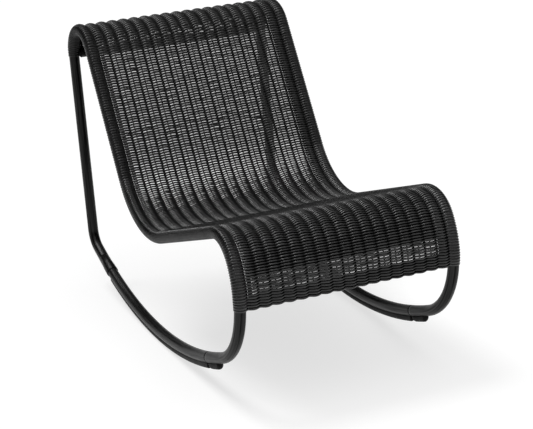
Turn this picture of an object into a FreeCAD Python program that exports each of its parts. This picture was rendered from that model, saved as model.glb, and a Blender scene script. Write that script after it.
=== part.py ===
import FreeCAD, Part
import math
import os

# Wicker rocking chair: two closed loops of bent pole with one long ribbed weave stretched between them.
# Millimetres. The chair faces -Y, +X is its right side seen from the front, +Z is up.
# A loop is drawn in the YZ plane as straight runs and tangent arcs: down the rear leg, forward along the
# rocker, up the front, back along the seat, up the back and over the roll to the rear leg again.

# Loop: bend radii on the centre line of the pole
POLE_SPACING = 580.0
POLE_DIAMETER = 29.0
REAR_BEND_RADIUS = 55.0
ROCKER_RADIUS = 1145.0
FRONT_RADIUS = 196.0
SEAT_FRONT_RADIUS = 88.0
CROTCH_RADIUS = 210.0
BACK_LENGTH = 380.0
ROLL_RADIUS = 81.0

# Loop: directions of its straight runs and arc ends in degrees, with the chair at its balance point
LEG_LEAN = 5.8
ROCKER_REAR_SLOPE = 22.6
ROCKER_FRONT_SLOPE = 22.6
FRONT_TOP_SLOPE = 57.2
SEAT_SLOPE = 19.9
BACK_SLOPE = 57.3

# Bends are skinned in short facets that stand off the true arc by this much at most, and poles are
# prisms of this many sides with the section of the round pole
FACET_HEIGHT = 0.55
POLE_SIDES = 16

# Joints of the loop, measured along the rocker from its ends
SEAM_FROM_ROCKER_FRONT = 85.0
SPLICE_FROM_ROCKER_REAR = 85.0
KEY_WIDTH = 16.0
KEY_THICKNESS = 7.0
KEY_LENGTH = 70.0
COLLAR_LENGTH = 70.0
COLLAR_THICKNESS = 2.0

# Runner strip and stop pad under the rocker
STRIP_WIDTH = 15.0
STRIP_DEPTH = 14.5
STRIP_NOSE = 8.0
STRIP_TO_COLLAR = 4.0
STRIP_TO_SEAM = 8.0
PAD_WIDTH = 18.0
PAD_DEPTH = 14.5
PAD_LENGTH = 58.0
PAD_NOSE = 8.0
PAD_TO_SEAM = 4.0

# Weave: ribs across the chair, heights measured out from the centre line of the pole
RIB_COUNT = 17
RIB_CREST = 15.9
RIB_HEIGHT = 6.0
RIB_FACETS = 3
RIB_BACK = 9.6
VALLEY_BACK = 4.0
WRAP_THICKNESS = 1.6
WRAP_TAPER = 2.0
SKIRT_FROM_ROCKER = 218.0
DROP_BELOW_ROLL = 4.0

# Cross rails, tenoned into the poles
RAIL_DIAMETER = 22.0
RAIL_SETBACK = 7.7
RAIL_FROM_EDGE = 10.0
TENON_WIDTH = 12.0
TENON_THICKNESS = 7.0
TENON_LENGTH = 20.0

# Room between pieces that touch
SEAT_CLEARANCE = 0.2
TENON_CLEARANCE = 0.1

CORNER = math.sqrt(2 * math.pi / (POLE_SIDES * math.sin(2 * math.pi / POLE_SIDES)))
POLE_RADIUS = POLE_DIAMETER / 2
WRAP_RADIUS = POLE_RADIUS + WRAP_THICKNESS
POLE_CORNER = POLE_RADIUS * CORNER
WRAP_CORNER = WRAP_RADIUS * CORNER
HALF_SPACING = POLE_SPACING / 2
RIB_PITCH = POLE_SPACING / (RIB_COUNT + 1)
SADDLE_FACETS = 4
ROUND_FACETS = 6
NOSE_FACETS = 3
FLATNESS = 1e-7
SIDES = {"left": -1, "right": 1}
ACROSS = FreeCAD.Vector(1, 0, 0)


class Run:
    """One straight run or arc in the YZ plane. A positive turn goes to the left, away from the loop."""

    def __init__(self, start, heading, length, turn):
        self.start = start
        self.heading = heading
        self.length = length
        self.turn = turn

    def heading_at(self, distance):
        return self.heading + self.turn * distance / self.length

    def centre(self):
        radius = self.length / self.turn
        y = self.start[0] - radius * math.sin(self.heading)
        z = self.start[1] + radius * math.cos(self.heading)
        return (y, z)

    def true_point(self, distance):
        if self.turn == 0:
            y = self.start[0] + distance * math.cos(self.heading)
            z = self.start[1] + distance * math.sin(self.heading)
            return (y, z)
        radius = self.length / self.turn
        centre = self.centre()
        heading = self.heading_at(distance)
        return (centre[0] + radius * math.sin(heading), centre[1] - radius * math.cos(heading))

    def facets(self):
        """How many straight facets follow this run closely enough."""
        if self.turn == 0:
            return 1
        radius = abs(self.length / self.turn)
        widest = 2 * math.acos(1 - FACET_HEIGHT / radius)
        return math.ceil(abs(self.turn) / widest)

    def facet_point(self, distance):
        """Point on the facets, so that pieces that lie on each other stay parallel."""
        step = self.length / self.facets()
        before = math.floor(distance / step) * step
        share = (distance - before) / step
        near = self.true_point(before)
        far = self.true_point(before + step)
        return (near[0] + share * (far[0] - near[0]), near[1] + share * (far[1] - near[1]))


class Loop:
    """Runs joined end to end into a closed line. Stations are lengths along it and may pass its end."""

    def __init__(self, runs):
        self.runs = runs
        self.length = sum(run.length for run in runs)

    def start_of(self, index):
        return sum(run.length for run in self.runs[:index])

    def run_at(self, station):
        rest = station % self.length
        for run in self.runs:
            if rest < run.length:
                return run, rest
            rest -= run.length
        return self.runs[0], 0.0

    def directions(self, station):
        """Along the loop and out of it."""
        run, distance = self.run_at(station)
        heading = run.heading_at(distance)
        along = FreeCAD.Vector(0, math.cos(heading), math.sin(heading))
        return along, FreeCAD.Vector(0, -math.sin(heading), math.cos(heading))

    def place(self, station, x, out=0.0):
        run, distance = self.run_at(station)
        normal = self.directions(station)[1]
        return FreeCAD.Vector(x, *run.facet_point(distance)) + normal * out


def closed_runs():
    """The loop's runs. Leg and seat are as long as the loop needs to close."""
    leg = math.radians(-90 - LEG_LEAN)
    rocker_rear = math.radians(-180 + ROCKER_REAR_SLOPE)
    rocker_front = math.radians(-180 - ROCKER_FRONT_SLOPE)
    front_top = math.radians(-360 + FRONT_TOP_SLOPE)
    seat = math.radians(-360 - SEAT_SLOPE)
    back = math.radians(-360 + BACK_SLOPE)
    leg_again = leg - 2 * math.pi
    bends = [
        (leg, rocker_rear, REAR_BEND_RADIUS),
        (rocker_rear, rocker_front, ROCKER_RADIUS),
        (rocker_front, front_top, FRONT_RADIUS),
        (front_top, seat, SEAT_FRONT_RADIUS),
        (seat, back, CROTCH_RADIUS),
        (back, leg_again, ROLL_RADIUS),
    ]
    gap_y = BACK_LENGTH * math.cos(back)
    gap_z = BACK_LENGTH * math.sin(back)
    for begin, end, radius in bends:
        reach = math.copysign(radius, end - begin)
        gap_y += reach * (math.sin(end) - math.sin(begin))
        gap_z += reach * (math.cos(begin) - math.cos(end))
    cross = math.cos(leg) * math.sin(seat) - math.sin(leg) * math.cos(seat)
    leg_length = (gap_z * math.cos(seat) - gap_y * math.sin(seat)) / cross
    seat_length = (gap_y * math.sin(leg) - gap_z * math.cos(leg)) / cross
    straight_before = {0: leg_length, 4: seat_length, 5: BACK_LENGTH}

    runs = []
    point = (0.0, 0.0)
    for number, (begin, end, radius) in enumerate(bends):
        if number in straight_before:
            runs.append(Run(point, begin, straight_before[number], 0))
            point = runs[-1].true_point(runs[-1].length)
        runs.append(Run(point, begin, abs(end - begin) * radius, end - begin))
        point = runs[-1].true_point(runs[-1].length)
    return runs


LEG, REAR_BEND, ROCKER, FRONT, SEAT_FRONT, SEAT, CROTCH, BACK, ROLL = range(9)


LOOP = Loop(closed_runs())
ROUND = LOOP.length

# Stations of the joints, the runner, the weave and the rails
SPLICE = LOOP.start_of(ROCKER) + SPLICE_FROM_ROCKER_REAR
SEAM = LOOP.start_of(FRONT) - SEAM_FROM_ROCKER_FRONT
COLLAR_REAR = SPLICE - COLLAR_LENGTH / 2
COLLAR_FRONT = SPLICE + COLLAR_LENGTH / 2
STRIP_REAR = COLLAR_FRONT + STRIP_TO_COLLAR
STRIP_FRONT = SEAM - STRIP_TO_SEAM
PAD_REAR = SEAM + PAD_TO_SEAM
PAD_FRONT = PAD_REAR + PAD_LENGTH
WEAVE_START = LOOP.start_of(FRONT) + SKIRT_FROM_ROCKER
WEAVE_END = ROUND + DROP_BELOW_ROLL
RAILS = {
    "skirt_rail": WEAVE_START + RAIL_FROM_EDGE,
    "seat_front_rail": LOOP.start_of(SEAT),
    "crotch_rail": (LOOP.start_of(CROTCH) + LOOP.start_of(BACK)) / 2,
    "rear_rail": WEAVE_END - RAIL_FROM_EDGE,
}


def facet_stations():
    """Ends of all facets on two laps of the loop."""
    marks = []
    start = 0.0
    for run in LOOP.runs + LOOP.runs:
        count = run.facets()
        marks += [start + run.length * step / count for step in range(count)]
        start += run.length
    return marks


FACET_ENDS = facet_stations()


def stations_between(begin, end, extra=()):
    """Where sections are taken: both ends, every facet between them and any extra stations."""
    inner = [mark for mark in FACET_ENDS if begin + 0.01 < mark < end - 0.01]
    return sorted([begin, end] + inner + list(extra))


def section(station, x, outline):
    """Corners of an outline in (across, out), set square to the loop at a station."""
    normal = LOOP.directions(station)[1]
    centre = LOOP.place(station, x)
    return [centre + ACROSS * across + normal * out for across, out in outline]


def flat_face(corners):
    return Part.Face(Part.makePolygon(corners + corners[:1]))


def flat_sides(corners):
    """Four corners as one flat face, or as two triangles where they don't lie in one plane."""
    first, second, third, fourth = corners
    square = (second - first).cross(third - first).normalize()
    if abs(square.dot(fourth - first)) < FLATNESS:
        return [flat_face(corners)]
    return [flat_face([first, second, third]), flat_face([first, third, fourth])]


def skin(begin, end, x, outline_at, extra=()):
    """Solid with flat sides through the sections of all stations between two ends."""
    rings = [section(station, x, outline_at(station)) for station in stations_between(begin, end, extra)]
    faces = [flat_face(rings[0]), flat_face(rings[-1])]
    for near, far in zip(rings, rings[1:]):
        for corner in range(len(near)):
            faces += flat_sides([near[corner - 1], near[corner], far[corner], far[corner - 1]])
    shell = Part.makeShell(faces)
    shell.sewShape()
    return Part.makeSolid(shell)


def ring(radius):
    """Outline of a pole: a polygon with the area of the circle, a flat side outwards."""
    turns = [math.pi / POLE_SIDES * (2 * side + 1) for side in range(POLE_SIDES)]
    return [(radius * CORNER * math.sin(turn), radius * CORNER * math.cos(turn)) for turn in turns]


def bow(radius, centre, begin, end, count):
    """Points on an arc, angles in degrees from straight out towards +X."""
    angles = [math.radians(begin + (end - begin) * step / count) for step in range(count + 1)]
    return [(radius * math.sin(angle), centre + radius * math.cos(angle)) for angle in angles]


def block(base, axis, length, width, across, thickness):
    """Square bar from a base point along an axis."""
    up = axis.cross(across)
    corner = base - across * (width / 2) - up * (thickness / 2)
    outline = [corner, corner + across * width, corner + across * width + up * thickness, corner + up * thickness]
    return Part.Face(Part.makePolygon(outline + [corner])).extrude(axis * length)


def key(station, x, clearance=0.0):
    """Loose tenon across a joint of the pole, along the pole's direction there."""
    along = LOOP.directions(station)[0]
    half = KEY_LENGTH / 2 + clearance
    start = LOOP.place(station, x) - along * half
    return block(start, along, 2 * half, KEY_WIDTH + 2 * clearance, ACROSS, KEY_THICKNESS + 2 * clearance)


def tenon(station, side, clearance=0.0):
    """End of a rail inside the pole, wide along the pole."""
    along = LOOP.directions(station)[0]
    base = LOOP.place(station, side * (HALF_SPACING - WRAP_CORNER - SEAT_CLEARANCE), -RAIL_SETBACK)
    width = TENON_WIDTH + 2 * clearance
    return block(base, ACROSS * side, TENON_LENGTH + clearance, width, along, TENON_THICKNESS + 2 * clearance)


def cross_rail(station):
    """Straight round rail between the poles with a tenon at each end."""
    half = HALF_SPACING - WRAP_CORNER - SEAT_CLEARANCE
    start = LOOP.place(station, -half, -RAIL_SETBACK)
    rail = Part.makeCylinder(RAIL_DIAMETER / 2, 2 * half, start, ACROSS)
    return rail.multiFuse([tenon(station, side) for side in SIDES.values()])


def side_pole(side):
    """Pole of seat and back, thicker where the rows of the weave are wound round it."""
    x = side * HALF_SPACING
    wrap_ends = [WEAVE_START - WRAP_TAPER, WEAVE_START, WEAVE_END, WEAVE_END + WRAP_TAPER]

    def outline(station):
        return ring(WRAP_RADIUS if WEAVE_START <= station <= WEAVE_END else POLE_RADIUS)

    pole = skin(SEAM, ROUND + SPLICE, x, outline, wrap_ends)
    holes = [key(SEAM, x, TENON_CLEARANCE), key(SPLICE, x, TENON_CLEARANCE)]
    holes += [tenon(station, side, TENON_CLEARANCE) for station in RAILS.values()]
    return pole.cut(holes)


def rocker_pole(side):
    x = side * HALF_SPACING
    pole = skin(SPLICE, SEAM, x, lambda station: ring(POLE_RADIUS))
    return pole.cut([key(SEAM, x, TENON_CLEARANCE), key(SPLICE, x, TENON_CLEARANCE)])


def collar(side):
    """Band round the splice of rear leg and rocker."""
    x = side * HALF_SPACING
    inner = POLE_RADIUS + SEAT_CLEARANCE
    band = skin(COLLAR_REAR, COLLAR_FRONT, x, lambda station: ring(inner + COLLAR_THICKNESS))
    return band.cut(skin(COLLAR_REAR, COLLAR_FRONT, x, lambda station: ring(inner)))


def runner(begin, end, x, width, depth, nose_rear, nose_front):
    """Bar under the pole: hollow where it fits the pole, half round below, its ends rounded upwards."""
    half = width / 2
    fit = POLE_CORNER + SEAT_CLEARANCE
    spread = math.degrees(math.asin(half / fit))
    saddle = bow(fit, 0.0, -spread, spread, SADDLE_FACETS)
    bends = [1 - math.cos(math.pi / 2 * step / NOSE_FACETS) for step in range(1, NOSE_FACETS + 1)]
    extra = [begin + nose_rear * bend for bend in bends] if nose_rear else []
    extra += [end - nose_front * bend for bend in bends] if nose_front else []

    def rise(distance, nose):
        return nose - math.sqrt(nose ** 2 - (nose - distance) ** 2) if distance < nose else 0.0

    def outline(station):
        low = POLE_RADIUS + depth - rise(station - begin, nose_rear) - rise(end - station, nose_front)
        return saddle + bow(half, low - half, 90, -90, ROUND_FACETS)

    return skin(begin, end, x, outline, extra)


def runner_strip(side):
    return runner(STRIP_REAR, STRIP_FRONT, side * HALF_SPACING, STRIP_WIDTH, STRIP_DEPTH, 0.0, STRIP_NOSE)


def stop_pad(side):
    return runner(PAD_REAR, PAD_FRONT, side * HALF_SPACING, PAD_WIDTH, PAD_DEPTH, PAD_NOSE, PAD_NOSE)


def rib_points(middle):
    """Points over one rib from right to left, without its last: a round crest in a few facets."""
    half = RIB_PITCH / 2
    radius = (half ** 2 + RIB_HEIGHT ** 2) / (2 * RIB_HEIGHT)
    spread = math.asin(half / radius)
    points = []
    for facet in range(RIB_FACETS):
        angle = spread * (1 - 2 * facet / RIB_FACETS)
        points.append((middle + radius * math.sin(angle), RIB_CREST - radius * (1 - math.cos(angle))))
    return points


def weave_outline():
    """Section of the weave: ribs in front and a groove behind each, from wrapped pole to wrapped pole."""
    edge = HALF_SPACING - math.sqrt(WRAP_CORNER ** 2 - VALLEY_BACK ** 2) - SEAT_CLEARANCE
    middles = [HALF_SPACING - (rib + 1) * RIB_PITCH for rib in range(RIB_COUNT)]
    points = [(-edge, VALLEY_BACK)]
    for middle in reversed(middles):
        points.append((middle, RIB_BACK))
        points.append((middle + RIB_PITCH / 2, VALLEY_BACK))
    points[-1] = (edge, VALLEY_BACK)
    for middle in middles:
        points += rib_points(middle)
    points.append((-HALF_SPACING + RIB_PITCH / 2, RIB_CREST - RIB_HEIGHT))
    return points


def weave(begin, end):
    outline = weave_outline()
    return skin(begin, end, 0.0, lambda station: outline)


def pieces():
    parts = {}
    for name, side in SIDES.items():
        parts["side_pole_" + name] = side_pole(side)
        parts["rocker_pole_" + name] = rocker_pole(side)
        parts["runner_strip_" + name] = runner_strip(side)
        parts["stop_pad_" + name] = stop_pad(side)
        parts["splice_collar_" + name] = collar(side)
    for name, station in RAILS.items():
        parts[name] = cross_rail(station)
    parts["weave_front"] = weave(WEAVE_START, LOOP.start_of(SEAT))
    parts["weave_seat"] = weave(LOOP.start_of(SEAT), LOOP.start_of(BACK))
    parts["weave_back"] = weave(LOOP.start_of(BACK), LOOP.start_of(ROLL))
    parts["weave_top"] = weave(LOOP.start_of(ROLL), WEAVE_END)
    middles = [side * HALF_SPACING for side in SIDES.values()]
    parts["seam_keys"] = Part.makeCompound([key(SEAM, x) for x in middles])
    parts["splice_keys"] = Part.makeCompound([key(SPLICE, x) for x in middles])
    return parts


def set_down(parts):
    """Moves the chair onto the floor, centred over the origin."""
    box = FreeCAD.BoundBox()
    for shape in parts.values():
        box.add(shape.BoundBox)
    for shape in parts.values():
        shape.translate(FreeCAD.Vector(-box.Center.x, -box.Center.y, -box.ZMin))


chair = pieces()
set_down(chair)
os.makedirs("parts", exist_ok=True)
for node, shape in chair.items():
    shape.exportStep("parts/" + node + ".step")
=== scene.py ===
import bpy
import math
import random
import numpy as np
from mathutils import Matrix, Vector


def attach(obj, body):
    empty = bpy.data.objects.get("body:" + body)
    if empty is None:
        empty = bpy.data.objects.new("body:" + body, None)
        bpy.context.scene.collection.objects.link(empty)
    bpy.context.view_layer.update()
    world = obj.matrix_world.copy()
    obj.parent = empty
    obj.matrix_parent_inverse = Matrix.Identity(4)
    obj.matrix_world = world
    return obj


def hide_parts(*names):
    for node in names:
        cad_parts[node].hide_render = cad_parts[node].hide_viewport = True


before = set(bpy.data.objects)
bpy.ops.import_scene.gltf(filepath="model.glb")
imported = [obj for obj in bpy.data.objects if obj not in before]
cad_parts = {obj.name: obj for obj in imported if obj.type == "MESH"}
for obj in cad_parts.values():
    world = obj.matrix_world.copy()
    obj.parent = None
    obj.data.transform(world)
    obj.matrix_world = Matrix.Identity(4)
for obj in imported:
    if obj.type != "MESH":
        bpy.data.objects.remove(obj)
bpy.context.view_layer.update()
random.seed(7)

# The loop's centre line, in metres and degrees: straight runs and tangent arcs, as in the part's source
SPACING = 0.580
POLE_RADIUS = 0.0145
LEG_LEAN = 5.8
ROCKER_SLOPE = 22.6
FRONT_TOP_SLOPE = 57.2
SEAT_SLOPE = 19.9
BACK_SLOPE = 57.3
REAR_BEND_RADIUS = 0.055
ROCKER_RADIUS = 1.145
FRONT_RADIUS = 0.196
SEAT_FRONT_RADIUS = 0.088
CROTCH_RADIUS = 0.210
ROLL_RADIUS = 0.081
BACK_LENGTH = 0.380
ROCKER_CENTRE = (0.018044, 1.173460)

# Lengths along the loop
SEAM_BEFORE_FRONT = 0.085
SPLICE_AFTER_REAR = 0.085
COLLAR_LENGTH = 0.070
STRIP_GAP = 0.004
STRIP_TO_SEAM = 0.008
PAD_TO_SEAM = 0.004
PAD_LENGTH = 0.058
SKIRT_AFTER_ROCKER = 0.218
DROP_BELOW_ROLL = 0.004

# Poles, and the bars under them: runner strips and stop pads
POLE_SIDES = 28
POLE_STEP = 0.006
POLE_EASE = 0.0012
ROCKER_START_V = 5.0
COLLAR_SIDES = 32
STRIP_WIDTH = 0.015
PAD_WIDTH = 0.018
BAR_DEPTH = 0.0145
BAR_STEP = 0.010
BAR_LEAST_STEPS = 8
BAR_ARC_STEPS = 13
SADDLE_DEPTH = 0.003
NOSE = 0.008
NOSE_STEPS = 7

# Weave
RIBS = 17
ROW_THICKNESS = 0.0052
BACK_ROW_THICKNESS = 0.0042
ROW_SIDES = 8
RIB_LIFT = 0.0131
VALLEY_LIFT = 0.0070
CUSP = 0.25
RIB_STAKE_RADIUS = 0.0020
RIB_STAKE_OFFSET = 0.0035
SPLINT_WIDTH = 0.0070
SPLINT_THICKNESS = 0.0014
STAKE_SIDES = 8
STAKE_STEP = 0.008
STAKE_INSET = 0.001
RIB_PITCH = SPACING / (RIBS + 1)
HALF = SPACING / 2

# Turns of the rows round the side poles: share of the row spacing, and the angles of their start and bend
HOOP_THICKNESS = 0.0026
HOOP_SHARE = 0.66
HOOP_FILLER_THICKNESS = 0.0012
HOOP_FILLER_SHARE = 0.30
HOOP_START = -250
HOOP_BEND = 30
HOOP_STEPS = 16

# Thin canes that close grooves from behind
FILLER_THICKNESS = 0.0019
FILLER_SINK = 0.0022
FILLER_SHARE = 0.36
FILLER_SIDES = 6

# Unevenness of the rows: spread of gaps, shift of a row, its drift (size and rate) and its streaks' start
GAP_SPREAD = (0.8, 1.2)
ROW_SHIFT = 0.00008
DRIFTS = ((0.00020, 43.0), (0.00016, 97.0))
DRIFT_PHASE = 6
STREAK_SPREAD = 9


class Loop:
    """Closed centre line in the YZ plane. at() gives y, z, heading and bend for stations in metres."""

    def __init__(self):
        leg = math.radians(-90 - LEG_LEAN)
        seat = math.radians(-360 - SEAT_SLOPE)
        back = math.radians(-360 + BACK_SLOPE)
        rear = math.radians(-180 + ROCKER_SLOPE)
        front = math.radians(-180 - ROCKER_SLOPE)
        top = math.radians(-360 + FRONT_TOP_SLOPE)
        bends = [(leg, rear, REAR_BEND_RADIUS),
                 (rear, front, ROCKER_RADIUS),
                 (front, top, FRONT_RADIUS),
                 (top, seat, SEAT_FRONT_RADIUS),
                 (seat, back, CROTCH_RADIUS),
                 (back, leg - 2 * math.pi, ROLL_RADIUS)]
        # The lengths of leg and seat are the ones that close the loop
        gap_y = BACK_LENGTH * math.cos(back)
        gap_z = BACK_LENGTH * math.sin(back)
        for begin, end, radius in bends:
            reach = math.copysign(radius, end - begin)
            gap_y += reach * (math.sin(end) - math.sin(begin))
            gap_z += reach * (math.cos(begin) - math.cos(end))
        cross = math.cos(leg) * math.sin(seat) - math.sin(leg) * math.cos(seat)
        leg_length = (gap_z * math.cos(seat) - gap_y * math.sin(seat)) / cross
        seat_length = (gap_y * math.sin(leg) - gap_z * math.cos(leg)) / cross
        straight_before = {0: leg_length, 4: seat_length, 5: BACK_LENGTH}
        self.runs = []
        y = z = start = 0.0
        for number, (begin, end, radius) in enumerate(bends):
            if number in straight_before:
                length = straight_before[number]
                self.runs.append((start, length, y, z, begin, 0.0))
                y += length * math.cos(begin)
                z += length * math.sin(begin)
                start += length
            bend = math.copysign(1 / radius, end - begin)
            self.runs.append((start, abs(end - begin) * radius, y, z, begin, bend))
            y += (math.sin(end) - math.sin(begin)) / bend
            z += (math.cos(begin) - math.cos(end)) / bend
            start += abs(end - begin) * radius
        self.length = start
        _, _, y, z, heading, bend = self.runs[2]
        self.shift_y = ROCKER_CENTRE[0] - (y - math.sin(heading) / bend)
        self.shift_z = ROCKER_CENTRE[1] - (z + math.cos(heading) / bend)

    def at(self, stations):
        s = np.mod(np.asarray(stations, float), self.length)
        y = np.zeros_like(s)
        z = np.zeros_like(s)
        heading = np.zeros_like(s)
        bends = np.zeros_like(s)
        for start, length, y0, z0, h0, bend in self.runs:
            mask = (s >= start) & (s < start + length)
            d = s[mask] - start
            h = h0 + bend * d
            if bend:
                y[mask] = y0 + (np.sin(h) - math.sin(h0)) / bend
                z[mask] = z0 + (math.cos(h0) - np.cos(h)) / bend
            else:
                y[mask] = y0 + d * math.cos(h0)
                z[mask] = z0 + d * math.sin(h0)
            heading[mask] = h
            bends[mask] = bend
        return y + self.shift_y, z + self.shift_z, heading, bends

    def point(self, stations, x, out):
        """Points beside the line, the directions along it and out of the loop, and its bend."""
        y, z, h, bends = self.at(stations)
        points = np.stack([x + 0 * y, y - np.sin(h) * out, z + np.cos(h) * out], -1)
        along = np.stack([0 * y, np.cos(h), np.sin(h)], -1)
        normal = np.stack([0 * y, -np.sin(h), np.cos(h)], -1)
        return points, along, normal, bends


LOOP = Loop()
_, _, ROCKER, FRONT, _, SEAT, CROTCH, BACK, ROLL = [run[0] for run in LOOP.runs]
SEAM = FRONT - SEAM_BEFORE_FRONT
SPLICE = ROCKER + SPLICE_AFTER_REAR
WEAVE_START = FRONT + SKIRT_AFTER_ROCKER
WEAVE_END = LOOP.length + DROP_BELOW_ROLL
ACROSS = np.array([1.0, 0.0, 0.0])
SIDES = (("left", -HALF), ("right", HALF))


class Skein:
    """Collects tubes into one mesh with a UV map: u round the tube, v along it in metres."""

    def __init__(self):
        self.points = []
        self.faces = []
        self.uvs = []
        self.count = 0

    def tube(self, points, side_a, side_b, sides, start_v=0.0):
        """points (n, 3); side_a and side_b (n, 3) are the section's half axes."""
        turn = 2 * math.pi * np.arange(sides) / sides
        ring = (points[:, None, :] + side_a[:, None, :] * np.cos(turn)[None, :, None]
                + side_b[:, None, :] * np.sin(turn)[None, :, None])
        self.rings(ring, start_v)

    def rings(self, ring, start_v=0.0):
        """Joins rings of points (n, sides, 3) into a skin with closed ends."""
        n, sides = ring.shape[:2]
        steps = np.linalg.norm(np.diff(ring.mean(axis=1), axis=0), axis=1)
        v = start_v + np.concatenate([[0.0], np.cumsum(steps)])
        i, j = np.meshgrid(np.arange(n - 1), np.arange(sides), indexing="ij")
        k = (j + 1) % sides
        quads = np.stack([i * sides + j, i * sides + k, (i + 1) * sides + k, (i + 1) * sides + j], -1)
        self.points.append(ring.reshape(-1, 3))
        self.faces += (quads.reshape(-1, 4) + self.count).tolist()
        u0 = j / sides
        u1 = (j + 1) / sides
        uv = np.stack([np.stack([u0, v[i]], -1), np.stack([u1, v[i]], -1),
                       np.stack([u1, v[i + 1]], -1), np.stack([u0, v[i + 1]], -1)], 2)
        self.uvs.append(uv.reshape(-1, 2))
        self.faces.append([self.count + side for side in range(sides)][::-1])
        self.faces.append([self.count + (n - 1) * sides + side for side in range(sides)])
        self.uvs.append(np.zeros((2 * sides, 2)))
        self.count += n * sides

    def build(self, name, material, replaced=()):
        mesh = bpy.data.meshes.new(name)
        mesh.from_pydata(np.concatenate(self.points).tolist(), [], self.faces)
        layer = mesh.uv_layers.new(name="UVMap")
        layer.data.foreach_set("uv", np.concatenate(self.uvs).ravel())
        mesh.polygons.foreach_set("use_smooth", [len(face) == 4 for face in self.faces])
        mesh.materials.append(material)
        mesh.update()
        obj = bpy.data.objects.new(name, mesh)
        bpy.context.scene.collection.objects.link(obj)
        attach(obj, "root")
        if replaced:
            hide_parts(*replaced)


# Materials
NOISE_LOW = 0.35
NOISE_HIGH = 0.65
STREAKS_ALONG = 5.0
PATCH_SHARE = 0.35


def material(name):
    mat = bpy.data.materials.new(name)
    mat.use_nodes = True
    nodes = mat.node_tree.nodes
    return mat, nodes, mat.node_tree.links, nodes["Principled BSDF"]


def ramp(nodes, links, source, stops):
    node = nodes.new("ShaderNodeValToRGB")
    elements = node.color_ramp.elements
    elements[0].position = stops[0][0]
    elements[0].color = (*stops[0][1], 1)
    elements[1].position = stops[-1][0]
    elements[1].color = (*stops[-1][1], 1)
    for position, colour in stops[1:-1]:
        element = elements.new(position)
        element.color = (*colour, 1)
    links.new(source, node.inputs["Fac"])
    return node.outputs["Color"]


def grey(value):
    return (value, value, value)


def map_range(nodes, links, source, low, high):
    """The middle of a noise spread over a range of values."""
    node = nodes.new("ShaderNodeMapRange")
    node.inputs["From Min"].default_value = NOISE_LOW
    node.inputs["From Max"].default_value = NOISE_HIGH
    node.inputs["To Min"].default_value = low
    node.inputs["To Max"].default_value = high
    links.new(source, node.inputs["Value"])
    return node.outputs["Result"]


def combine(nodes, links, operation, first, second):
    """Math node on two outputs."""
    node = nodes.new("ShaderNodeMath")
    node.operation = operation
    links.new(first, node.inputs[0])
    links.new(second, node.inputs[1])
    return node.outputs["Value"]


def streaked(name, shades, rough, gloss, streaks, relief_depth):
    """Painted cane or pole: fine lengthwise streaks in colour, gloss and relief."""
    mat, nodes, links, shader = material(name)
    coords = nodes.new("ShaderNodeTexCoord")
    mapping = nodes.new("ShaderNodeMapping")
    mapping.inputs["Scale"].default_value = (streaks, STREAKS_ALONG, 1.0)
    links.new(coords.outputs["UV"], mapping.inputs["Vector"])
    noise = nodes.new("ShaderNodeTexNoise")
    noise.inputs["Scale"].default_value = 1.0
    noise.inputs["Detail"].default_value = 5.0
    noise.inputs["Roughness"].default_value = 0.6
    links.new(mapping.outputs["Vector"], noise.inputs["Vector"])
    patches = nodes.new("ShaderNodeTexNoise")
    patches.inputs["Scale"].default_value = 35.0
    patches.inputs["Detail"].default_value = 3.0
    links.new(coords.outputs["Object"], patches.inputs["Vector"])
    both = nodes.new("ShaderNodeMix")
    both.inputs["Factor"].default_value = PATCH_SHARE
    links.new(noise.outputs["Fac"], both.inputs["A"])
    links.new(patches.outputs["Fac"], both.inputs["B"])
    stops = [(NOISE_LOW, grey(shades[0])), (NOISE_HIGH, grey(shades[1]))]
    links.new(ramp(nodes, links, both.outputs["Result"], stops), shader.inputs["Base Color"])
    links.new(map_range(nodes, links, both.outputs["Result"], *rough), shader.inputs["Roughness"])
    links.new(map_range(nodes, links, noise.outputs["Fac"], *gloss), shader.inputs["Specular IOR Level"])
    relief = nodes.new("ShaderNodeBump")
    relief.inputs["Strength"].default_value = 0.5
    relief.inputs["Distance"].default_value = relief_depth
    links.new(noise.outputs["Fac"], relief.inputs["Height"])
    links.new(relief.outputs["Normal"], shader.inputs["Normal"])
    return mat


# Name, range of shades, of roughness and of gloss, streaks round the section, depth of the relief
POLE = streaked("black_pole", (0.001, 0.010), (0.28, 0.44), (0.03, 0.36), 26.0, 0.0010)
CANE = streaked("black_cane", (0.002, 0.006), (0.28, 0.36), (0.26, 0.50), 4.0, 0.0004)
WORN_CANE = streaked("worn_cane", (0.002, 0.006), (0.16, 0.24), (0.44, 0.80), 4.0, 0.0003)
STAKE = streaked("black_stake", (0.002, 0.004), (0.50, 0.70), (0.05, 0.15), 6.0, 0.0004)
RUNNER = streaked("black_runner", (0.002, 0.006), (0.40, 0.58), (0.02, 0.22), 10.0, 0.0006)
RAIL = streaked("black_rail", (0.003, 0.007), (0.45, 0.65), (0.20, 0.40), 8.0, 0.0004)
PAD = streaked("black_pad", (0.004, 0.009), (0.60, 0.80), (0.20, 0.40), 3.0, 0.0005)
KEY = streaked("plain_key", (0.12, 0.30), (0.50, 0.70), (0.30, 0.50), 3.0, 0.0004)


# Poles
def add_pole(skein, begin, end, x, start_v=0.0):
    """Round pole along the loop with slightly eased end edges."""
    count = int((end - begin) / POLE_STEP)
    stations = np.linspace(begin + POLE_EASE, end - POLE_EASE, count)
    stations = np.concatenate([[begin], stations, [end]])
    points, _, normal, _ = LOOP.point(stations, x, 0.0)
    radii = np.full((len(stations), 1), POLE_RADIUS)
    radii[0] = radii[-1] = POLE_RADIUS - POLE_EASE
    skein.tube(points, ACROSS * radii, normal * radii, POLE_SIDES, start_v)


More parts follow.
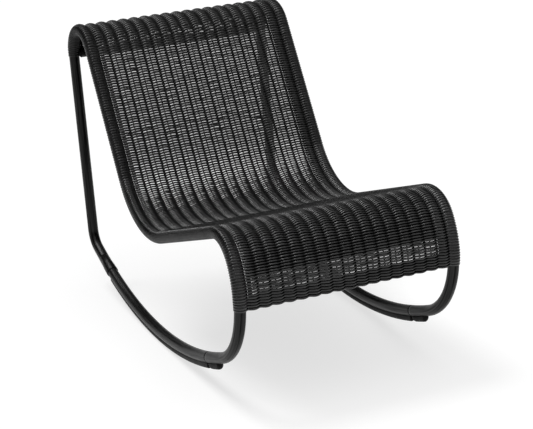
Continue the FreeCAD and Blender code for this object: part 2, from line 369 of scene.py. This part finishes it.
for side, x in SIDES:
    skein = Skein()
    add_pole(skein, SEAM, LOOP.length + SPLICE, x)
    skein.build("pole_" + side, POLE, ["side_pole_" + side])
    skein = Skein()
    add_pole(skein, SPLICE, SEAM, x, ROCKER_START_V)
    skein.build("rocker_" + side, POLE, ["rocker_pole_" + side])


# Rows of the weave. Light shows between them on a band of the skirt, the seat's rear, the back and the roll.
# Elsewhere the groove between two rows is closed from behind.
FIRST_VALLEY = HALF - RIB_PITCH / 2
STEPS_PER_RIB = 8
OPEN_LEFT = RIB_PITCH - HALF
OPEN_RIGHT = FIRST_VALLEY - RIB_PITCH
OPEN_FROM = WEAVE_START + 0.036
FADES_FROM = WEAVE_START + 0.050
CLOSED_FROM = WEAVE_START + 0.080
OPEN_BACK = BACK - 0.12
OPEN_END = WEAVE_END - 0.012

# Spacing of the rows, gap between them and their thickness, along the weave
PITCH_MARKS = (WEAVE_START, CLOSED_FROM, CLOSED_FROM + 0.04, SEAT, CROTCH, BACK, ROLL, WEAVE_END)
PITCHES = (0.0066, 0.0065, 0.00613, 0.0061, 0.0063, 0.00705, 0.00725, 0.0072)
GAP_MARKS = (OPEN_FROM - 0.001, OPEN_FROM, FADES_FROM, CLOSED_FROM, CLOSED_FROM + 0.001,
             OPEN_BACK - 0.03, OPEN_BACK + 0.03, BACK, BACK + 0.08)
GAPS = (0.0022, 0.0005, 0.0004, 0.0002, 0.0024, 0.0020, 0.0012, 0.0010, 0.0007)
THICKNESS_MARKS = (CROTCH, BACK)
THICKNESSES = (ROW_THICKNESS, BACK_ROW_THICKNESS)

# Change of a row along its own length: at the edges of the panel, and to the left on the skirt
EDGE_MARKS = (FIRST_VALLEY, FIRST_VALLEY + 0.006)
EDGE_GAP = 0.0012
LEFT_MARKS = (-0.15, 0.1)
SKIRT_LEFT_SHARE = 0.45

# The first and last rows are thinner round the poles
TAPER_MARKS = (0.0, 0.025)
TAPER_SHARES = (0.4, 1.0)


def wave(x):
    """Height of a row over the loop: round over each rib, with a narrow valley between ribs."""
    swing = np.cos(math.pi * (x + HALF) / RIB_PITCH)
    arch = (np.sqrt(swing ** 2 + CUSP ** 2) - CUSP) / (math.hypot(1, CUSP) - CUSP)
    return VALLEY_LIFT + (RIB_LIFT - VALLEY_LIFT) * arch


def hoop(sign, thickness):
    """Across and out positions of the turn round a side pole, from behind it to the first valley."""
    wrap = POLE_RADIUS + thickness / 2
    start = math.radians(HOOP_START)
    bend = math.radians(HOOP_BEND)
    end = math.atan2(HALF - FIRST_VALLEY, VALLEY_LIFT)
    turn = np.linspace(start, end, HOOP_STEPS)
    blend = np.clip((turn - bend) / (end - bend), 0, 1) ** 2
    radius = wrap + (math.hypot(HALF - FIRST_VALLEY, VALLEY_LIFT) - wrap) * blend
    return sign * (HALF - radius * np.sin(turn)), radius * np.cos(turn)


INNER = np.linspace(-FIRST_VALLEY, FIRST_VALLEY, RIBS * STEPS_PER_RIB + 1)[1:-1]
LEFT_EDGE = INNER[INNER < OPEN_LEFT]
RIGHT_EDGE = INNER[INNER > OPEN_RIGHT]
LEFT_HOOP = hoop(-1, HOOP_THICKNESS)
RIGHT_HOOP = hoop(1, HOOP_THICKNESS)
FULL_ROW = (np.concatenate([LEFT_HOOP[0], INNER, RIGHT_HOOP[0][::-1]]),
            np.concatenate([LEFT_HOOP[1], wave(INNER), RIGHT_HOOP[1][::-1]]))
HOOP_FILLERS = (hoop(-1, HOOP_FILLER_THICKNESS), hoop(1, HOOP_FILLER_THICKNESS))


def add_row(skein, station, line, pitch, gap, left_share, hoop_share, hoop_thickness):
    """One cane laid across the chair: narrow round the poles, close on the first ribs, then with gaps."""
    across, out = line
    beside = np.abs(across)
    to_end = min(station - WEAVE_START, WEAVE_END - station)
    hoop_thickness *= float(np.interp(to_end, TAPER_MARKS, TAPER_SHARES))
    woven = float(np.interp(station, THICKNESS_MARKS, THICKNESSES))
    thick = np.interp(beside, EDGE_MARKS, (woven, hoop_thickness)) / 2
    drift = sum(size * np.sin(across * rate + random.uniform(0, DRIFT_PHASE)) for size, rate in DRIFTS)
    points, along, _, bends = LOOP.point(station + drift, across, out)
    spread = pitch * (1 - bends * np.maximum(out, 0.0)) / 2
    share = np.interp(beside, EDGE_MARKS, (1.0, hoop_share))
    inside = gap * np.interp(across, LEFT_MARKS, (left_share, 1.0))
    closed = np.interp(beside, EDGE_MARKS, (EDGE_GAP, 0.0))
    opening = np.where((across > OPEN_LEFT) & (across < OPEN_RIGHT), inside, closed) / 2
    width = spread * share - opening
    tangent = np.gradient(points, axis=0)
    tangent /= np.linalg.norm(tangent, axis=1)[:, None]
    lift = np.cross(along, tangent)
    lift /= np.linalg.norm(lift, axis=1)[:, None]
    side = np.cross(tangent, lift)
    start_v = random.random() * STREAK_SPREAD
    skein.tube(points, side * width[:, None], lift * thick[:, None], ROW_SIDES, start_v)


def add_filler(skein, across, station, pitch):
    """Thin cane that closes the groove between two rows from behind."""
    out = wave(across) - FILLER_SINK
    points, along, normal, bends = LOOP.point(np.full(len(across), station), across, out)
    width = pitch * (1 - bends * out) * FILLER_SHARE
    start_v = random.random() * STREAK_SPREAD
    skein.tube(points, along * width[:, None], normal * FILLER_THICKNESS / 2, FILLER_SIDES, start_v)


STRETCHES = (("front", WEAVE_START, SEAT, WORN_CANE),
             ("seat", SEAT, BACK, WORN_CANE),
             ("back", BACK, ROLL, CANE),
             ("top", ROLL, WEAVE_END, CANE))
row_places = []
station = WEAVE_START + PITCHES[0] / 2
while station < WEAVE_END - PITCHES[-1] / 2:
    row_places.append(station)
    station += float(np.interp(station, PITCH_MARKS, PITCHES))
fillers = Skein()
for stretch, begin, end, cane in STRETCHES:
    skein = Skein()
    for station in row_places:
        if not begin <= station < end:
            continue
        pitch = float(np.interp(station, PITCH_MARKS, PITCHES))
        gap = float(np.interp(station, GAP_MARKS, GAPS)) * random.uniform(*GAP_SPREAD)
        left_share = SKIRT_LEFT_SHARE if station < CLOSED_FROM else 1.0
        shifted = station + random.uniform(-ROW_SHIFT, ROW_SHIFT)
        add_row(skein, shifted, FULL_ROW, pitch, gap, left_share, HOOP_SHARE, HOOP_THICKNESS)
        groove = station + pitch / 2
        closed = station < OPEN_FROM or CLOSED_FROM < station + pitch < OPEN_BACK or station > OPEN_END
        for span in (INNER,) if closed else (LEFT_EDGE, RIGHT_EDGE):
            add_filler(fillers, span, groove, pitch)
        for turn in HOOP_FILLERS:
            add_row(skein, groove, turn, pitch, gap, 1.0, HOOP_FILLER_SHARE, HOOP_FILLER_THICKNESS)
    skein.build("rows_" + stretch, cane, ["weave_" + stretch])
fillers.build("row_fillers", STAKE)


# Stakes
def add_stake(skein, x, out, half_width, half_thickness):
    """Lengthwise cane under the rows, from the skirt's edge to the end of the rear drop."""
    count = int((WEAVE_END - WEAVE_START) / STAKE_STEP)
    stations = np.linspace(WEAVE_START + STAKE_INSET, WEAVE_END - STAKE_INSET, count)
    points, _, normal, _ = LOOP.point(stations, x, out)
    wide = ACROSS * np.full((count, 1), half_width)
    skein.tube(points, wide, normal * half_thickness, STAKE_SIDES, random.random() * STREAK_SPREAD)


skein = Skein()
stake_lift = RIB_LIFT - ROW_THICKNESS / 2 - RIB_STAKE_RADIUS
for rib in range(1, RIBS + 1):
    x = -HALF + rib * RIB_PITCH - RIB_STAKE_OFFSET
    add_stake(skein, x, stake_lift, RIB_STAKE_RADIUS, RIB_STAKE_RADIUS)
skein.build("rib_stakes", STAKE)
skein = Skein()
splint_lift = VALLEY_LIFT - (ROW_THICKNESS + SPLINT_THICKNESS) / 2
for valley in range(RIBS + 1):
    x = -HALF + (valley + 0.5) * RIB_PITCH
    add_stake(skein, x, splint_lift, SPLINT_WIDTH / 2, SPLINT_THICKNESS / 2)
skein.build("valley_splints", STAKE)


# Collars round the splices: distance from the rear end and thickness over the pole, with a step in front
COLLAR_STEPS = np.array(((0.0, 0.0002), (0.030, 0.0005), (0.037, 0.0013), (0.052, 0.0019), (0.066, 0.0022),
                         (0.069, 0.0020), (COLLAR_LENGTH, 0.0003)))
for side, x in SIDES:
    stations = SPLICE - COLLAR_LENGTH / 2 + COLLAR_STEPS[:, 0]
    points, _, normal, _ = LOOP.point(stations, x, 0.0)
    radii = (POLE_RADIUS + COLLAR_STEPS[:, 1])[:, None]
    skein = Skein()
    skein.tube(points, ACROSS * radii, normal * radii, COLLAR_SIDES)
    skein.build("collar_" + side, POLE, ["splice_collar_" + side])


# Runner strips and stop pads
def add_bar(skein, begin, end, x, width, nose_rear):
    """Bar under a pole: flat flanks, a half-round underside, and ends with a nose rounded upwards."""
    count = max(BAR_LEAST_STEPS, int((end - begin) / BAR_STEP))
    stations = np.linspace(begin + nose_rear, end - NOSE, count)
    bends = 1 - np.cos(np.linspace(0, math.pi / 2, NOSE_STEPS)[:-1])
    if nose_rear:
        stations = np.concatenate([begin + nose_rear * bends, stations])
    stations = np.concatenate([stations, (end - NOSE * bends)[::-1]])
    low = np.full(len(stations), POLE_RADIUS + BAR_DEPTH)
    for distance, nose in ((stations - begin, nose_rear), (end - stations, NOSE)):
        inside = np.clip(nose - distance, 0, nose)
        low -= nose - np.sqrt(nose ** 2 - inside ** 2)
    high = POLE_RADIUS - SADDLE_DEPTH
    points, _, normal, _ = LOOP.point(stations, x, (low + high) / 2)
    depth = ((low - high) / 2)[:, None]
    half = width / 2
    arc = np.sin(np.radians(np.linspace(-90, 90, BAR_ARC_STEPS)))
    across = half * np.concatenate([[-1.0], arc, [1.0]])
    underside = depth - half + half * np.sqrt(np.maximum(0.0, 1 - arc ** 2))
    levels = np.concatenate([-depth, underside, -depth], axis=1)
    skein.rings(points[:, None, :] + ACROSS * across[None, :, None] + normal[:, None, :] * levels[:, :, None])


STRIP_START = SPLICE + COLLAR_LENGTH / 2 + STRIP_GAP
PAD_START = SEAM + PAD_TO_SEAM
for side, x in SIDES:
    skein = Skein()
    add_bar(skein, STRIP_START, SEAM - STRIP_TO_SEAM, x, STRIP_WIDTH, 0.0)
    skein.build("strip_" + side, RUNNER, ["runner_strip_" + side])
    skein = Skein()
    add_bar(skein, PAD_START, PAD_START + PAD_LENGTH, x, PAD_WIDTH, NOSE)
    skein.build("pad_" + side, PAD, ["stop_pad_" + side])


# Carried-over solids
NODE_MATERIALS = {"rail": RAIL, "key": KEY}
for name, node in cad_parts.items():
    for word, mat in NODE_MATERIALS.items():
        if word in name:
            node.data.materials.clear()
            node.data.materials.append(mat)

# Floor: it glows to the camera and in reflections only, so that it is white where it is seen
FLOOR_REACH = 9
FLOOR_SHADE = 0.36
FLOOR_GLOW = 0.71
corners = [(-FLOOR_REACH, -FLOOR_REACH, 0), (FLOOR_REACH, -FLOOR_REACH, 0),
           (FLOOR_REACH, FLOOR_REACH, 0), (-FLOOR_REACH, FLOOR_REACH, 0)]
floor_mesh = bpy.data.meshes.new("floor")
floor_mesh.from_pydata(corners, [], [(0, 1, 2, 3)])
floor = bpy.data.objects.new("floor", floor_mesh)
bpy.context.scene.collection.objects.link(floor)
mat, nodes, links, shader = material("floor")
shader.inputs["Base Color"].default_value = (*grey(FLOOR_SHADE), 1)
shader.inputs["Roughness"].default_value = 0.9
shader.inputs["Specular IOR Level"].default_value = 0.0
shader.inputs["Emission Color"].default_value = (*grey(1.0), 1)
path = nodes.new("ShaderNodeLightPath")
seen = combine(nodes, links, "MAXIMUM", path.outputs["Is Camera Ray"], path.outputs["Is Glossy Ray"])
seen = combine(nodes, links, "MAXIMUM", seen, path.outputs["Is Transmission Ray"])
glow = nodes.new("ShaderNodeMath")
glow.operation = "MULTIPLY"
glow.inputs[1].default_value = FLOOR_GLOW
links.new(seen, glow.inputs[0])
links.new(glow.outputs["Value"], shader.inputs["Emission Strength"])
floor_mesh.materials.append(mat)

# Surroundings: white to the camera, otherwise dim with a soft ceiling, in reflections with a white horizon.
# Shades by the height of the direction.
CEILING = [(0.0, grey(0.08)), (0.72, grey(0.08)), (0.86, grey(0.6)), (1.0, grey(0.6))]
HORIZON = [(0.0, grey(1.0)), (0.05, grey(1.0)), (0.15, grey(0.0)), (1.0, grey(0.0))]
world = bpy.data.worlds.new("studio")
bpy.context.scene.world = world
world.use_nodes = True
nodes = world.node_tree.nodes
links = world.node_tree.links
coords = nodes.new("ShaderNodeTexCoord")
direction = nodes.new("ShaderNodeSeparateXYZ")
links.new(coords.outputs["Generated"], direction.inputs["Vector"])
ceiling = ramp(nodes, links, direction.outputs["Z"], CEILING)
horizon = ramp(nodes, links, direction.outputs["Z"], HORIZON)
path = nodes.new("ShaderNodeLightPath")
seen = combine(nodes, links, "MAXIMUM", path.outputs["Is Camera Ray"], path.outputs["Is Transmission Ray"])
mirrored = combine(nodes, links, "MULTIPLY", horizon, path.outputs["Is Glossy Ray"])
white = combine(nodes, links, "MAXIMUM", seen, mirrored)
backdrop = nodes.new("ShaderNodeMix")
backdrop.data_type = "RGBA"
backdrop.inputs["B"].default_value = (*grey(1.0), 1)
links.new(white, backdrop.inputs["Factor"])
links.new(ceiling, backdrop.inputs["A"])
links.new(backdrop.outputs["Result"], nodes["Background"].inputs["Color"])
nodes["Background"].inputs["Strength"].default_value = 1.0


def sun(name, toward, strength, width):
    """Distant light: direction towards it, strength, and width in degrees."""
    data = bpy.data.lights.new(name, "SUN")
    data.energy = strength
    data.angle = math.radians(width)
    obj = bpy.data.objects.new(name, data)
    obj.rotation_euler = Vector(toward).to_track_quat("Z", "Y").to_euler()
    bpy.context.scene.collection.objects.link(obj)


sun("top", (-0.25, 0.35, 0.90), 1.4, 22)
sun("fill", (0.10, -0.30, 0.95), 0.9, 80)

# The photograph's camera: found by fitting the outlines of both loops in its 533 by 429 frame
IMAGE_WIDTH = 533
FOCAL_PIXELS = 1665.88
PRINCIPAL = (258.196, 199.191)
IMAGE_CENTRE = (266.5, 214.5)
FIT_AZIMUTH = -25.274
FIT_ELEVATION = 23.901
FIT_PLACE = Vector((-1.7234, -3.6921, 2.1236))
FIT_ROCKER_CENTRE = Vector((0.0, 0.0817, 1.1453))
FIT_PITCH = 5.2

azimuth = math.radians(FIT_AZIMUTH)
elevation = math.radians(FIT_ELEVATION)
backward = Vector((math.sin(azimuth) * math.cos(elevation),
                   -math.cos(azimuth) * math.cos(elevation),
                   math.sin(elevation)))
right = Vector((math.cos(azimuth), math.sin(azimuth), 0))
upward = backward.cross(right)
tilt = Matrix.Rotation(math.radians(FIT_PITCH), 3, "X")
place = tilt @ (FIT_PLACE - FIT_ROCKER_CENTRE) + Vector((0.0, *ROCKER_CENTRE))
axes = Matrix((tilt @ right, tilt @ upward, tilt @ backward)).transposed()
camera_data = bpy.data.cameras.new("camera")
camera_data.sensor_width = 36.0
camera_data.lens = FOCAL_PIXELS / IMAGE_WIDTH * camera_data.sensor_width
camera_data.shift_x = (IMAGE_CENTRE[0] - PRINCIPAL[0]) / IMAGE_WIDTH
camera_data.shift_y = (PRINCIPAL[1] - IMAGE_CENTRE[1]) / IMAGE_WIDTH
camera = bpy.data.objects.new("camera", camera_data)
camera.matrix_world = Matrix.Translation(place) @ axes.to_4x4()
bpy.context.scene.collection.objects.link(camera)
bpy.context.scene.camera = camera
bpy.context.scene.view_settings.view_transform = "Standard"
